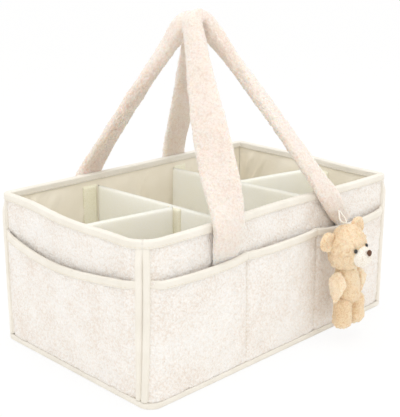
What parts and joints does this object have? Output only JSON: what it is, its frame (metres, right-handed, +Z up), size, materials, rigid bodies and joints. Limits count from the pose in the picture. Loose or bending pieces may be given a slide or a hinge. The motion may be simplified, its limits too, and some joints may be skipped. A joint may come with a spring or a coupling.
{
  "type": "diaper caddy",
  "caption": "Soft-walled rectangular caddy with bound edges, outside pockets, foam partitions, padded carrying handles that fold outwards and a stuffed bear hung on a loop.",
  "frame": {"origin": "middle of the underside of the base, where the caddy stands on the floor", "axes": "+Z up, X along the long side, the front with the bear faces -Y"},
  "size_m": [0.4166, 0.32, 0.3657],
  "materials": {
    "teddy": "short teddy pile",
    "tape": "woven binding tape",
    "lining": "smooth woven lining",
    "board": "stiffener board",
    "foam": "cloth over foam",
    "plush": "plush",
    "pale_plush": "plush",
    "nose_thread": "stitched thread",
    "eye_bead": "polished",
    "cord": "twisted cord"
  },
  "bodies": {
    "caddy": {"base_cover": "teddy", "base_board": "board", "base_lining": "lining", "front_cover": "teddy", "front_board": "board", "front_lining": "lining", "front_pocket": "teddy", "front_pocket_binding": "tape", "right_cover": "teddy", "right_board": "board", "right_lining": "lining", "right_pocket": "teddy", "right_pocket_binding": "tape", "back_cover": "teddy", "back_board": "board", "back_lining": "lining", "back_pocket": "teddy", "back_pocket_binding": "tape", "left_cover": "teddy", "left_board": "board", "left_lining": "lining", "left_pocket": "teddy", "left_pocket_binding": "tape", "front_right_corner_binding": "tape", "back_right_corner_binding": "tape", "back_left_corner_binding": "tape", "front_left_corner_binding": "tape", "rim_binding": "tape", "base_binding": "tape", "front_handle_end_left": "teddy", "front_handle_end_right": "teddy", "back_handle_end_left": "teddy", "back_handle_end_right": "teddy", "left_divider": "foam", "left_divider_back_tab": "foam", "left_divider_front_tab": "foam", "right_divider": "foam", "right_divider_back_tab": "foam", "right_divider_front_tab": "foam", "left_partition_tab": "foam", "right_partition_tab": "foam"},
    "front_handle": {"front_handle_sleeve": "teddy", "front_handle_core": "foam"},
    "back_handle": {"back_handle_sleeve": "teddy", "back_handle_core": "foam"},
    "left_panel": {"left_partition": "foam"},
    "right_panel": {"right_partition": "foam"},
    "loop": {"bear_loop": "cord"},
    "bear": {"bear_body": "plush", "bear_head": "plush", "bear_muzzle": "pale_plush", "bear_nose": "nose_thread", "bear_eye_left": "eye_bead", "bear_eye_right": "eye_bead", "bear_ear_left": "plush", "bear_ear_right": "plush"},
    "arm_left": {"bear_arm_left": "plush"},
    "arm_right": {"bear_arm_right": "plush"},
    "leg_left": {"bear_leg_left": "plush"},
    "leg_right": {"bear_leg_right": "plush"}
  },
  "joints": [
    {"name": "front_handle_fold", "type": "hinge", "parent": "caddy", "child": "front_handle", "pos_m": [0, -0.1345, 0.17115], "axis": [1, 0, 0], "range_deg": [0, 110]},
    {"name": "back_handle_fold", "type": "hinge", "parent": "caddy", "child": "back_handle", "pos_m": [0, 0.1354, 0.17115], "axis": [-1, 0, 0], "range_deg": [0, 110]},
    {"name": "left_partition_fold", "type": "hinge", "parent": "caddy", "child": "left_panel", "pos_m": [-0.06433, -0.016, 0.082], "axis": [0, 0, -1], "range_deg": [0, 65]},
    {"name": "right_partition_fold", "type": "hinge", "parent": "caddy", "child": "right_panel", "pos_m": [0.07264, 0.009, 0.082], "axis": [0, 0, -1], "range_deg": [0, 55]},
    {"name": "loop_swing", "type": "hinge", "parent": "caddy", "child": "loop", "pos_m": [0.086, -0.13041, 0.146], "axis": [0, 1, 0], "range_deg": [-30, 30]},
    {"name": "bear_swing_out", "type": "hinge", "parent": "loop", "child": "bear", "pos_m": [0.073, -0.14706, 0.13846], "axis": [-1, 0, 0], "range_deg": [0, 60]},
    {"name": "arm_left_lift", "type": "hinge", "parent": "bear", "child": "arm_left", "pos_m": [0.10194, -0.15306, 0.08], "axis": [-1, 0, 0], "range_deg": [0, 60]},
    {"name": "arm_right_lift", "type": "hinge", "parent": "bear", "child": "arm_right", "pos_m": [0.05806, -0.15306, 0.08], "axis": [-1, 0, 0], "range_deg": [0, 60]},
    {"name": "leg_left_lift", "type": "hinge", "parent": "bear", "child": "leg_left", "pos_m": [0.0918, -0.15306, 0.044], "axis": [-1, 0, 0], "range_deg": [0, 45]},
    {"name": "leg_right_lift", "type": "hinge", "parent": "bear", "child": "leg_right", "pos_m": [0.0682, -0.15306, 0.044], "axis": [-1, 0, 0], "range_deg": [0, 45]}
  ]
}
